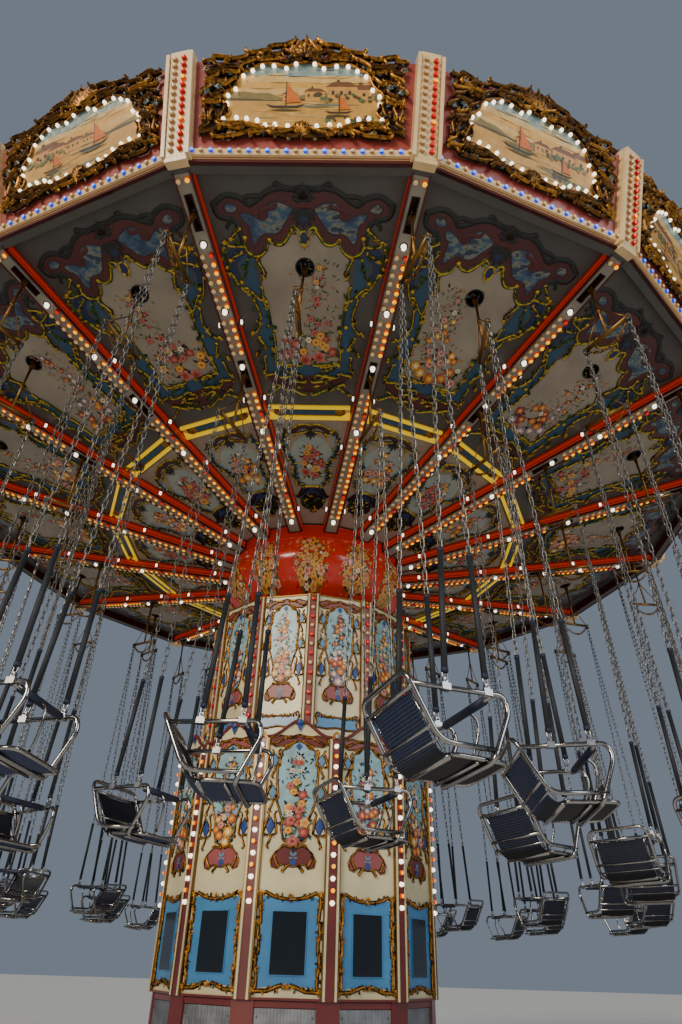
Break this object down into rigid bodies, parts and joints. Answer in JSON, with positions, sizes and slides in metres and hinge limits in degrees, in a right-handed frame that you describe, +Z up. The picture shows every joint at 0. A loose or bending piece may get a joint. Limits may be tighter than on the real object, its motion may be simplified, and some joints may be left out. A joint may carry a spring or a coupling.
{
  "type": "chair swing ride",
  "caption": "Chair swing ride: a telescoping tower carries a tilting, turning canopy with light beams and painted panels, and chairs on chains fly out around it.",
  "frame": {"origin": "on the ground under the middle of the tower, on the underside of the base's centre pad", "axes": "+Z up; the canopy leans towards +Y; +X is the way that the chairs at the -Y side travel"},
  "size_m": [11.6228, 11.6117, 9.7568],
  "materials": {
    "grey_steel": "satin",
    "dark_red": "semi-gloss",
    "cream": "semi-gloss",
    "vermilion": "gloss",
    "terracotta": "satin",
    "painted_panel": "satin",
    "roof_sheet": "matt",
    "seat": "polished"
  },
  "bodies": {
    "foundation": {"base_frame": "grey_steel", "plinth_skirt": "dark_red", "lower_housing": "cream"},
    "tower_lift": {"mast": "grey_steel", "upper_housing": "cream"},
    "tilting_head": {"tilt_head": "grey_steel"},
    "canopy": {"drum": "vermilion", "sweep_frame": "grey_steel", "soffit_panels": "painted_panel", "light_beams": "vermilion", "rounding_boards": "terracotta", "roof": "roof_sheet"},
    "chair_outer_01": {"seat_outer_01": "seat"},
    "chair_outer_02": {"seat_outer_02": "seat"},
    "chair_outer_03": {"seat_outer_03": "seat"},
    "chair_outer_04": {"seat_outer_04": "seat"},
    "chair_outer_05": {"seat_outer_05": "seat"},
    "chair_outer_06": {"seat_outer_06": "seat"},
    "chair_outer_07": {"seat_outer_07": "seat"},
    "chair_outer_08": {"seat_outer_08": "seat"},
    "chair_outer_09": {"seat_outer_09": "seat"},
    "chair_outer_10": {"seat_outer_10": "seat"},
    "chair_outer_11": {"seat_outer_11": "seat"},
    "chair_outer_12": {"seat_outer_12": "seat"},
    "chair_outer_13": {"seat_outer_13": "seat"},
    "chair_outer_14": {"seat_outer_14": "seat"},
    "chair_outer_15": {"seat_outer_15": "seat"},
    "chair_outer_16": {"seat_outer_16": "seat"},
    "chair_middle_01": {"seat_middle_01": "seat"},
    "chair_middle_02": {"seat_middle_02": "seat"},
    "chair_middle_03": {"seat_middle_03": "seat"},
    "chair_middle_04": {"seat_middle_04": "seat"},
    "chair_middle_05": {"seat_middle_05": "seat"},
    "chair_middle_06": {"seat_middle_06": "seat"},
    "chair_middle_07": {"seat_middle_07": "seat"},
    "chair_middle_08": {"seat_middle_08": "seat"},
    "chair_middle_09": {"seat_middle_09": "seat"},
    "chair_middle_10": {"seat_middle_10": "seat"},
    "chair_middle_11": {"seat_middle_11": "seat"},
    "chair_middle_12": {"seat_middle_12": "seat"},
    "chair_middle_13": {"seat_middle_13": "seat"},
    "chair_middle_14": {"seat_middle_14": "seat"},
    "chair_middle_15": {"seat_middle_15": "seat"},
    "chair_middle_16": {"seat_middle_16": "seat"},
    "chair_inner_01": {"seat_inner_01": "seat"},
    "chair_inner_02": {"seat_inner_02": "seat"},
    "chair_inner_03": {"seat_inner_03": "seat"},
    "chair_inner_04": {"seat_inner_04": "seat"},
    "chair_inner_05": {"seat_inner_05": "seat"},
    "chair_inner_06": {"seat_inner_06": "seat"},
    "chair_inner_07": {"seat_inner_07": "seat"},
    "chair_inner_08": {"seat_inner_08": "seat"},
    "chair_inner_09": {"seat_inner_09": "seat"},
    "chair_inner_10": {"seat_inner_10": "seat"},
    "chair_inner_11": {"seat_inner_11": "seat"},
    "chair_inner_12": {"seat_inner_12": "seat"},
    "chair_inner_13": {"seat_inner_13": "seat"},
    "chair_inner_14": {"seat_inner_14": "seat"},
    "chair_inner_15": {"seat_inner_15": "seat"},
    "chair_inner_16": {"seat_inner_16": "seat"}
  },
  "joints": [
    {"name": "lift", "type": "slide", "parent": "foundation", "child": "tower_lift", "axis": [0, 0, 1], "range_m": [-1.45, 0.25]},
    {"name": "tilt", "type": "hinge", "parent": "tower_lift", "child": "tilting_head", "pos_m": [0, 0, 6.45], "axis": [-1, 0, 0], "range_deg": [-2.5, 3.5]},
    {"name": "spin", "type": "hinge", "parent": "tilting_head", "child": "canopy", "pos_m": [0, 0, 6.45], "axis": [0, 0.0436, 0.999], "continuous": true},
    {"name": "swing_outer_01", "type": "hinge", "parent": "canopy", "child": "chair_outer_01", "pos_m": [-0.98852, -4.93595, 7.33001], "axis": [-0.9808, 0.1949, -0.0085], "range_deg": [-4, 36]},
    {"name": "swing_outer_02", "type": "hinge", "parent": "canopy", "child": "chair_outer_02", "pos_m": [0.98852, -4.93595, 7.33001], "axis": [-0.9808, -0.1949, 0.0085], "range_deg": [-4, 36]},
    {"name": "swing_outer_03", "type": "hinge", "parent": "canopy", "child": "chair_outer_03", "pos_m": [2.81507, -4.18009, 7.29701], "axis": [-0.8315, -0.555, 0.0242], "range_deg": [-4, 36]},
    {"name": "swing_outer_04", "type": "hinge", "parent": "canopy", "child": "chair_outer_04", "pos_m": [4.21306, -2.78344, 7.23603], "axis": [-0.5556, -0.8307, 0.0363], "range_deg": [-4, 36]},
    {"name": "swing_outer_05", "type": "hinge", "parent": "canopy", "child": "chair_outer_05", "pos_m": [4.96964, -0.95862, 7.15635], "axis": [-0.1951, -0.9799, 0.0428], "range_deg": [-4, 36]},
    {"name": "swing_outer_06", "type": "hinge", "parent": "canopy", "child": "chair_outer_06", "pos_m": [4.96964, 1.01654, 7.07012], "axis": [0.1951, -0.9799, 0.0428], "range_deg": [-4, 36]},
    {"name": "swing_outer_07", "type": "hinge", "parent": "canopy", "child": "chair_outer_07", "pos_m": [4.21306, 2.84135, 6.99044], "axis": [0.5556, -0.8307, 0.0363], "range_deg": [-4, 36]},
    {"name": "swing_outer_08", "type": "hinge", "parent": "canopy", "child": "chair_outer_08", "pos_m": [2.81507, 4.238, 6.92946], "axis": [0.8315, -0.555, 0.0242], "range_deg": [-4, 36]},
    {"name": "swing_outer_09", "type": "hinge", "parent": "canopy", "child": "chair_outer_09", "pos_m": [0.98852, 4.99387, 6.89646], "axis": [0.9808, -0.1949, 0.0085], "range_deg": [-4, 36]},
    {"name": "swing_outer_10", "type": "hinge", "parent": "canopy", "child": "chair_outer_10", "pos_m": [-0.98852, 4.99387, 6.89646], "axis": [0.9808, 0.1949, -0.0085], "range_deg": [-4, 36]},
    {"name": "swing_outer_11", "type": "hinge", "parent": "canopy", "child": "chair_outer_11", "pos_m": [-2.81507, 4.238, 6.92946], "axis": [0.8315, 0.555, -0.0242], "range_deg": [-4, 36]},
    {"name": "swing_outer_12", "type": "hinge", "parent": "canopy", "child": "chair_outer_12", "pos_m": [-4.21306, 2.84135, 6.99044], "axis": [0.5556, 0.8307, -0.0363], "range_deg": [-4, 36]},
    {"name": "swing_outer_13", "type": "hinge", "parent": "canopy", "child": "chair_outer_13", "pos_m": [-4.96964, 1.01654, 7.07012], "axis": [0.1951, 0.9799, -0.0428], "range_deg": [-4, 36]},
    {"name": "swing_outer_14", "type": "hinge", "parent": "canopy", "child": "chair_outer_14", "pos_m": [-4.96964, -0.95862, 7.15635], "axis": [-0.1951, 0.9799, -0.0428], "range_deg": [-4, 36]},
    {"name": "swing_outer_15", "type": "hinge", "parent": "canopy", "child": "chair_outer_15", "pos_m": [-4.21306, -2.78344, 7.23603], "axis": [-0.5556, 0.8307, -0.0363], "range_deg": [-4, 36]},
    {"name": "swing_outer_16", "type": "hinge", "parent": "canopy", "child": "chair_outer_16", "pos_m": [-2.81507, -4.18009, 7.29701], "axis": [-0.8315, 0.555, -0.0242], "range_deg": [-4, 36]},
    {"name": "swing_middle_01", "type": "hinge", "parent": "canopy", "child": "chair_middle_01", "pos_m": [0, -4.3883, 7.29543], "axis": [-1, 0, 0], "range_deg": [-3.56, 32]},
    {"name": "swing_middle_02", "type": "hinge", "parent": "canopy", "child": "chair_middle_02", "pos_m": [1.69184, -4.05209, 7.28076], "axis": [-0.9239, -0.3823, 0.0167], "range_deg": [-3.56, 32]},
    {"name": "swing_middle_03", "type": "hinge", "parent": "canopy", "child": "chair_middle_03", "pos_m": [3.12612, -3.09465, 7.23895], "axis": [-0.7071, -0.7064, 0.0308], "range_deg": [-3.56, 32]},
    {"name": "swing_middle_04", "type": "hinge", "parent": "canopy", "child": "chair_middle_04", "pos_m": [4.08447, -1.66174, 7.17639], "axis": [-0.3827, -0.923, 0.0403], "range_deg": [-3.56, 32]},
    {"name": "swing_middle_05", "type": "hinge", "parent": "canopy", "child": "chair_middle_05", "pos_m": [4.421, 0.02849, 7.10259], "axis": [0, -0.999, 0.0436], "range_deg": [-3.56, 32]},
    {"name": "swing_middle_06", "type": "hinge", "parent": "canopy", "child": "chair_middle_06", "pos_m": [4.08447, 1.71873, 7.0288], "axis": [0.3827, -0.923, 0.0403], "range_deg": [-3.56, 32]},
    {"name": "swing_middle_07", "type": "hinge", "parent": "canopy", "child": "chair_middle_07", "pos_m": [3.12612, 3.15164, 6.96623], "axis": [0.7071, -0.7064, 0.0308], "range_deg": [-3.56, 32]},
    {"name": "swing_middle_08", "type": "hinge", "parent": "canopy", "child": "chair_middle_08", "pos_m": [1.69184, 4.10908, 6.92443], "axis": [0.9239, -0.3823, 0.0167], "range_deg": [-3.56, 32]},
    {"name": "swing_middle_09", "type": "hinge", "parent": "canopy", "child": "chair_middle_09", "pos_m": [0, 4.44529, 6.90975], "axis": [1, 0, 0], "range_deg": [-3.56, 32]},
    {"name": "swing_middle_10", "type": "hinge", "parent": "canopy", "child": "chair_middle_10", "pos_m": [-1.69184, 4.10908, 6.92443], "axis": [0.9239, 0.3823, -0.0167], "range_deg": [-3.56, 32]},
    {"name": "swing_middle_11", "type": "hinge", "parent": "canopy", "child": "chair_middle_11", "pos_m": [-3.12612, 3.15164, 6.96623], "axis": [0.7071, 0.7064, -0.0308], "range_deg": [-3.56, 32]},
    {"name": "swing_middle_12", "type": "hinge", "parent": "canopy", "child": "chair_middle_12", "pos_m": [-4.08447, 1.71873, 7.0288], "axis": [0.3827, 0.923, -0.0403], "range_deg": [-3.56, 32]},
    {"name": "swing_middle_13", "type": "hinge", "parent": "canopy", "child": "chair_middle_13", "pos_m": [-4.421, 0.02849, 7.10259], "axis": [0, 0.999, -0.0436], "range_deg": [-3.56, 32]},
    {"name": "swing_middle_14", "type": "hinge", "parent": "canopy", "child": "chair_middle_14", "pos_m": [-4.08447, -1.66174, 7.17639], "axis": [-0.3827, 0.923, -0.0403], "range_deg": [-3.56, 32]},
    {"name": "swing_middle_15", "type": "hinge", "parent": "canopy", "child": "chair_middle_15", "pos_m": [-3.12612, -3.09465, 7.23895], "axis": [-0.7071, 0.7064, -0.0308], "range_deg": [-3.56, 32]},
    {"name": "swing_middle_16", "type": "hinge", "parent": "canopy", "child": "chair_middle_16", "pos_m": [-1.69184, -4.05209, 7.28076], "axis": [-0.9239, 0.3823, -0.0167], "range_deg": [-3.56, 32]},
    {"name": "swing_inner_01", "type": "hinge", "parent": "canopy", "child": "chair_inner_01", "pos_m": [-0.66818, -3.34376, 6.87662], "axis": [-0.9808, 0.1949, -0.0085], "range_deg": [-3.11, 28]},
    {"name": "swing_inner_02", "type": "hinge", "parent": "canopy", "child": "chair_inner_02", "pos_m": [0.66818, -3.34376, 6.87662], "axis": [-0.9808, -0.1949, 0.0085], "range_deg": [-3.11, 28]},
    {"name": "swing_inner_03", "type": "hinge", "parent": "canopy", "child": "chair_inner_03", "pos_m": [1.90283, -2.83284, 6.85431], "axis": [-0.8315, -0.555, 0.0242], "range_deg": [-3.11, 28]},
    {"name": "swing_inner_04", "type": "hinge", "parent": "canopy", "child": "chair_inner_04", "pos_m": [2.84778, -1.88879, 6.81309], "axis": [-0.5556, -0.8307, 0.0363], "range_deg": [-3.11, 28]},
    {"name": "swing_inner_05", "type": "hinge", "parent": "canopy", "child": "chair_inner_05", "pos_m": [3.35919, -0.65532, 6.75924], "axis": [-0.1951, -0.9799, 0.0428], "range_deg": [-3.11, 28]},
    {"name": "swing_inner_06", "type": "hinge", "parent": "canopy", "child": "chair_inner_06", "pos_m": [3.35919, 0.67978, 6.70094], "axis": [0.1951, -0.9799, 0.0428], "range_deg": [-3.11, 28]},
    {"name": "swing_inner_07", "type": "hinge", "parent": "canopy", "child": "chair_inner_07", "pos_m": [2.84778, 1.91325, 6.64709], "axis": [0.5556, -0.8307, 0.0363], "range_deg": [-3.11, 28]},
    {"name": "swing_inner_08", "type": "hinge", "parent": "canopy", "child": "chair_inner_08", "pos_m": [1.90283, 2.8573, 6.60587], "axis": [0.8315, -0.555, 0.0242], "range_deg": [-3.11, 28]},
    {"name": "swing_inner_09", "type": "hinge", "parent": "canopy", "child": "chair_inner_09", "pos_m": [0.66818, 3.36822, 6.58356], "axis": [0.9808, -0.1949, 0.0085], "range_deg": [-3.11, 28]},
    {"name": "swing_inner_10", "type": "hinge", "parent": "canopy", "child": "chair_inner_10", "pos_m": [-0.66818, 3.36822, 6.58356], "axis": [0.9808, 0.1949, -0.0085], "range_deg": [-3.11, 28]},
    {"name": "swing_inner_11", "type": "hinge", "parent": "canopy", "child": "chair_inner_11", "pos_m": [-1.90283, 2.8573, 6.60587], "axis": [0.8315, 0.555, -0.0242], "range_deg": [-3.11, 28]},
    {"name": "swing_inner_12", "type": "hinge", "parent": "canopy", "child": "chair_inner_12", "pos_m": [-2.84778, 1.91325, 6.64709], "axis": [0.5556, 0.8307, -0.0363], "range_deg": [-3.11, 28]},
    {"name": "swing_inner_13", "type": "hinge", "parent": "canopy", "child": "chair_inner_13", "pos_m": [-3.35919, 0.67978, 6.70094], "axis": [0.1951, 0.9799, -0.0428], "range_deg": [-3.11, 28]},
    {"name": "swing_inner_14", "type": "hinge", "parent": "canopy", "child": "chair_inner_14", "pos_m": [-3.35919, -0.65532, 6.75924], "axis": [-0.1951, 0.9799, -0.0428], "range_deg": [-3.11, 28]},
    {"name": "swing_inner_15", "type": "hinge", "parent": "canopy", "child": "chair_inner_15", "pos_m": [-2.84778, -1.88879, 6.81309], "axis": [-0.5556, 0.8307, -0.0363], "range_deg": [-3.11, 28]},
    {"name": "swing_inner_16", "type": "hinge", "parent": "canopy", "child": "chair_inner_16", "pos_m": [-1.90283, -2.83284, 6.85431], "axis": [-0.8315, 0.555, -0.0242], "range_deg": [-3.11, 28]}
  ],
  "couplings": [
    {"joint": "swing_outer_02", "follows": "swing_outer_01", "ratio": 1},
    {"joint": "swing_outer_03", "follows": "swing_outer_01", "ratio": 1},
    {"joint": "swing_outer_04", "follows": "swing_outer_01", "ratio": 1},
    {"joint": "swing_outer_05", "follows": "swing_outer_01", "ratio": 1},
    {"joint": "swing_outer_06", "follows": "swing_outer_01", "ratio": 1},
    {"joint": "swing_outer_07", "follows": "swing_outer_01", "ratio": 1},
    {"joint": "swing_outer_08", "follows": "swing_outer_01", "ratio": 1},
    {"joint": "swing_outer_09", "follows": "swing_outer_01", "ratio": 1},
    {"joint": "swing_outer_10", "follows": "swing_outer_01", "ratio": 1},
    {"joint": "swing_outer_11", "follows": "swing_outer_01", "ratio": 1},
    {"joint": "swing_outer_12", "follows": "swing_outer_01", "ratio": 1},
    {"joint": "swing_outer_13", "follows": "swing_outer_01", "ratio": 1},
    {"joint": "swing_outer_14", "follows": "swing_outer_01", "ratio": 1},
    {"joint": "swing_outer_15", "follows": "swing_outer_01", "ratio": 1},
    {"joint": "swing_outer_16", "follows": "swing_outer_01", "ratio": 1},
    {"joint": "swing_middle_01", "follows": "swing_outer_01", "ratio": 0.88889},
    {"joint": "swing_middle_02", "follows": "swing_outer_01", "ratio": 0.88889},
    {"joint": "swing_middle_03", "follows": "swing_outer_01", "ratio": 0.88889},
    {"joint": "swing_middle_04", "follows": "swing_outer_01", "ratio": 0.88889},
    {"joint": "swing_middle_05", "follows": "swing_outer_01", "ratio": 0.88889},
    {"joint": "swing_middle_06", "follows": "swing_outer_01", "ratio": 0.88889},
    {"joint": "swing_middle_07", "follows": "swing_outer_01", "ratio": 0.88889},
    {"joint": "swing_middle_08", "follows": "swing_outer_01", "ratio": 0.88889},
    {"joint": "swing_middle_09", "follows": "swing_outer_01", "ratio": 0.88889},
    {"joint": "swing_middle_10", "follows": "swing_outer_01", "ratio": 0.88889},
    {"joint": "swing_middle_11", "follows": "swing_outer_01", "ratio": 0.88889},
    {"joint": "swing_middle_12", "follows": "swing_outer_01", "ratio": 0.88889},
    {"joint": "swing_middle_13", "follows": "swing_outer_01", "ratio": 0.88889},
    {"joint": "swing_middle_14", "follows": "swing_outer_01", "ratio": 0.88889},
    {"joint": "swing_middle_15", "follows": "swing_outer_01", "ratio": 0.88889},
    {"joint": "swing_middle_16", "follows": "swing_outer_01", "ratio": 0.88889},
    {"joint": "swing_inner_01", "follows": "swing_outer_01", "ratio": 0.77778},
    {"joint": "swing_inner_02", "follows": "swing_outer_01", "ratio": 0.77778},
    {"joint": "swing_inner_03", "follows": "swing_outer_01", "ratio": 0.77778},
    {"joint": "swing_inner_04", "follows": "swing_outer_01", "ratio": 0.77778},
    {"joint": "swing_inner_05", "follows": "swing_outer_01", "ratio": 0.77778},
    {"joint": "swing_inner_06", "follows": "swing_outer_01", "ratio": 0.77778},
    {"joint": "swing_inner_07", "follows": "swing_outer_01", "ratio": 0.77778},
    {"joint": "swing_inner_08", "follows": "swing_outer_01", "ratio": 0.77778},
    {"joint": "swing_inner_09", "follows": "swing_outer_01", "ratio": 0.77778},
    {"joint": "swing_inner_10", "follows": "swing_outer_01", "ratio": 0.77778},
    {"joint": "swing_inner_11", "follows": "swing_outer_01", "ratio": 0.77778},
    {"joint": "swing_inner_12", "follows": "swing_outer_01", "ratio": 0.77778},
    {"joint": "swing_inner_13", "follows": "swing_outer_01", "ratio": 0.77778},
    {"joint": "swing_inner_14", "follows": "swing_outer_01", "ratio": 0.77778},
    {"joint": "swing_inner_15", "follows": "swing_outer_01", "ratio": 0.77778},
    {"joint": "swing_inner_16", "follows": "swing_outer_01", "ratio": 0.77778}
  ]
}
